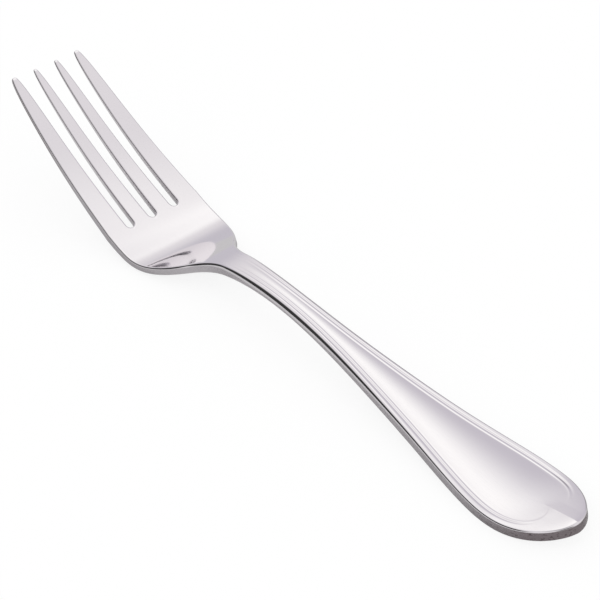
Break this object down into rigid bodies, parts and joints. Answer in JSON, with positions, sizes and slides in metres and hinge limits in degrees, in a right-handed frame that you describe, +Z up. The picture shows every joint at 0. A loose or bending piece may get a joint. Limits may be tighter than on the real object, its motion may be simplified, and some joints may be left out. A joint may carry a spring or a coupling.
{
  "type": "dessert fork",
  "caption": "Solid polished steel dessert fork with slim bowed tines, sloping shoulders, an arched narrow neck and a pear-shaped handle with a swelled heart-ended panel inside a thread border.",
  "frame": {"origin": "centre of the fork's length and width, on the table that it rests on", "axes": "+X along the fork from the tines to the end of the handle, +Z up from the table, Y across the tines"},
  "size_m": [0.1856, 0.0278, 0.0281],
  "materials": {
    "polished_steel": "mirror-polished stainless steel with finer ground edges"
  },
  "bodies": {
    "root": {"fork": "polished_steel"}
  },
  "joints": []
}
